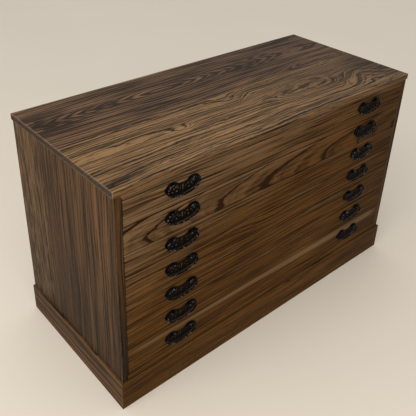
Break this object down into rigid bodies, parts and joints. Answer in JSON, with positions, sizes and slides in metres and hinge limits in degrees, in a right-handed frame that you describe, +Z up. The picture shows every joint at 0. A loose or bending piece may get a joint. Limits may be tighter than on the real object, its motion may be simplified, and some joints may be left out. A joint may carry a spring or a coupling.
{
  "type": "kimono chest",
  "caption": "Low, wide wooden chest of full-width flush drawers on a flat plinth, each drawer drawn by two iron bails over pierced crescent plates, for kimono laid flat.",
  "frame": {"origin": "on the floor, under the middle of the chest's outer box, pulls included", "axes": "+X to the right as seen from the front, +Y towards the back, +Z up; the drawers open towards -Y"},
  "size_m": [1.01, 0.4476, 0.614],
  "materials": {
    "case_wood": "satin wiped lacquer over open grain",
    "drawer_wood": "satin wiped lacquer over open grain",
    "inner_wood": "bare planed wood",
    "iron": "blackened, worn satin"
  },
  "bodies": {
    "case": {"top_board": "case_wood", "side_left": "case_wood", "side_right": "case_wood", "top_rail": "case_wood", "bottom_board": "case_wood", "back_panel": "case_wood", "drawer_runners": "inner_wood", "plinth_front": "case_wood", "plinth_right": "case_wood", "plinth_back": "case_wood", "plinth_left": "case_wood"},
    "drawer_1": {"drawer_1_front": "drawer_wood", "drawer_1_sides": "inner_wood", "drawer_1_back": "inner_wood", "drawer_1_bottom": "inner_wood", "drawer_1_pull_plates": "iron"},
    "drawer_1_left_bail": {"drawer_1_left_bail": "iron"},
    "drawer_1_right_bail": {"drawer_1_right_bail": "iron"},
    "drawer_2": {"drawer_2_front": "drawer_wood", "drawer_2_sides": "inner_wood", "drawer_2_back": "inner_wood", "drawer_2_bottom": "inner_wood", "drawer_2_pull_plates": "iron"},
    "drawer_2_left_bail": {"drawer_2_left_bail": "iron"},
    "drawer_2_right_bail": {"drawer_2_right_bail": "iron"},
    "drawer_3": {"drawer_3_front": "drawer_wood", "drawer_3_sides": "inner_wood", "drawer_3_back": "inner_wood", "drawer_3_bottom": "inner_wood", "drawer_3_pull_plates": "iron"},
    "drawer_3_left_bail": {"drawer_3_left_bail": "iron"},
    "drawer_3_right_bail": {"drawer_3_right_bail": "iron"},
    "drawer_4": {"drawer_4_front": "drawer_wood", "drawer_4_sides": "inner_wood", "drawer_4_back": "inner_wood", "drawer_4_bottom": "inner_wood", "drawer_4_pull_plates": "iron"},
    "drawer_4_left_bail": {"drawer_4_left_bail": "iron"},
    "drawer_4_right_bail": {"drawer_4_right_bail": "iron"},
    "drawer_5": {"drawer_5_front": "drawer_wood", "drawer_5_sides": "inner_wood", "drawer_5_back": "inner_wood", "drawer_5_bottom": "inner_wood", "drawer_5_pull_plates": "iron"},
    "drawer_5_left_bail": {"drawer_5_left_bail": "iron"},
    "drawer_5_right_bail": {"drawer_5_right_bail": "iron"},
    "drawer_6": {"drawer_6_front": "drawer_wood", "drawer_6_sides": "inner_wood", "drawer_6_back": "inner_wood", "drawer_6_bottom": "inner_wood", "drawer_6_pull_plates": "iron"},
    "drawer_6_left_bail": {"drawer_6_left_bail": "iron"},
    "drawer_6_right_bail": {"drawer_6_right_bail": "iron"},
    "drawer_7": {"drawer_7_front": "drawer_wood", "drawer_7_sides": "inner_wood", "drawer_7_back": "inner_wood", "drawer_7_bottom": "inner_wood", "drawer_7_pull_plates": "iron"},
    "drawer_7_left_bail": {"drawer_7_left_bail": "iron"},
    "drawer_7_right_bail": {"drawer_7_right_bail": "iron"}
  },
  "joints": [
    {"name": "drawer_1_slide", "type": "slide", "parent": "case", "child": "drawer_1", "axis": [0, -1, 0], "range_m": [0, 0.3]},
    {"name": "drawer_1_left_bail_hinge", "type": "hinge", "parent": "drawer_1", "child": "drawer_1_left_bail", "pos_m": [-0.328, -0.21905, 0.574], "axis": [-1, 0, 0], "range_deg": [0, 90]},
    {"name": "drawer_1_right_bail_hinge", "type": "hinge", "parent": "drawer_1", "child": "drawer_1_right_bail", "pos_m": [0.328, -0.21905, 0.574], "axis": [-1, 0, 0], "range_deg": [0, 90]},
    {"name": "drawer_2_slide", "type": "slide", "parent": "case", "child": "drawer_2", "axis": [0, -1, 0], "range_m": [0, 0.3]},
    {"name": "drawer_2_left_bail_hinge", "type": "hinge", "parent": "drawer_2", "child": "drawer_2_left_bail", "pos_m": [-0.328, -0.21905, 0.503], "axis": [-1, 0, 0], "range_deg": [0, 90]},
    {"name": "drawer_2_right_bail_hinge", "type": "hinge", "parent": "drawer_2", "child": "drawer_2_right_bail", "pos_m": [0.328, -0.21905, 0.503], "axis": [-1, 0, 0], "range_deg": [0, 90]},
    {"name": "drawer_3_slide", "type": "slide", "parent": "case", "child": "drawer_3", "axis": [0, -1, 0], "range_m": [0, 0.3]},
    {"name": "drawer_3_left_bail_hinge", "type": "hinge", "parent": "drawer_3", "child": "drawer_3_left_bail", "pos_m": [-0.328, -0.21905, 0.432], "axis": [-1, 0, 0], "range_deg": [0, 90]},
    {"name": "drawer_3_right_bail_hinge", "type": "hinge", "parent": "drawer_3", "child": "drawer_3_right_bail", "pos_m": [0.328, -0.21905, 0.432], "axis": [-1, 0, 0], "range_deg": [0, 90]},
    {"name": "drawer_4_slide", "type": "slide", "parent": "case", "child": "drawer_4", "axis": [0, -1, 0], "range_m": [0, 0.3]},
    {"name": "drawer_4_left_bail_hinge", "type": "hinge", "parent": "drawer_4", "child": "drawer_4_left_bail", "pos_m": [-0.328, -0.21905, 0.361], "axis": [-1, 0, 0], "range_deg": [0, 90]},
    {"name": "drawer_4_right_bail_hinge", "type": "hinge", "parent": "drawer_4", "child": "drawer_4_right_bail", "pos_m": [0.328, -0.21905, 0.361], "axis": [-1, 0, 0], "range_deg": [0, 90]},
    {"name": "drawer_5_slide", "type": "slide", "parent": "case", "child": "drawer_5", "axis": [0, -1, 0], "range_m": [0, 0.3]},
    {"name": "drawer_5_left_bail_hinge", "type": "hinge", "parent": "drawer_5", "child": "drawer_5_left_bail", "pos_m": [-0.328, -0.21905, 0.29], "axis": [-1, 0, 0], "range_deg": [0, 90]},
    {"name": "drawer_5_right_bail_hinge", "type": "hinge", "parent": "drawer_5", "child": "drawer_5_right_bail", "pos_m": [0.328, -0.21905, 0.29], "axis": [-1, 0, 0], "range_deg": [0, 90]},
    {"name": "drawer_6_slide", "type": "slide", "parent": "case", "child": "drawer_6", "axis": [0, -1, 0], "range_m": [0, 0.3]},
    {"name": "drawer_6_left_bail_hinge", "type": "hinge", "parent": "drawer_6", "child": "drawer_6_left_bail", "pos_m": [-0.328, -0.21905, 0.219], "axis": [-1, 0, 0], "range_deg": [0, 90]},
    {"name": "drawer_6_right_bail_hinge", "type": "hinge", "parent": "drawer_6", "child": "drawer_6_right_bail", "pos_m": [0.328, -0.21905, 0.219], "axis": [-1, 0, 0], "range_deg": [0, 90]},
    {"name": "drawer_7_slide", "type": "slide", "parent": "case", "child": "drawer_7", "axis": [0, -1, 0], "range_m": [0, 0.3]},
    {"name": "drawer_7_left_bail_hinge", "type": "hinge", "parent": "drawer_7", "child": "drawer_7_left_bail", "pos_m": [-0.328, -0.21905, 0.148], "axis": [-1, 0, 0], "range_deg": [0, 90]},
    {"name": "drawer_7_right_bail_hinge", "type": "hinge", "parent": "drawer_7", "child": "drawer_7_right_bail", "pos_m": [0.328, -0.21905, 0.148], "axis": [-1, 0, 0], "range_deg": [0, 90]}
  ]
}
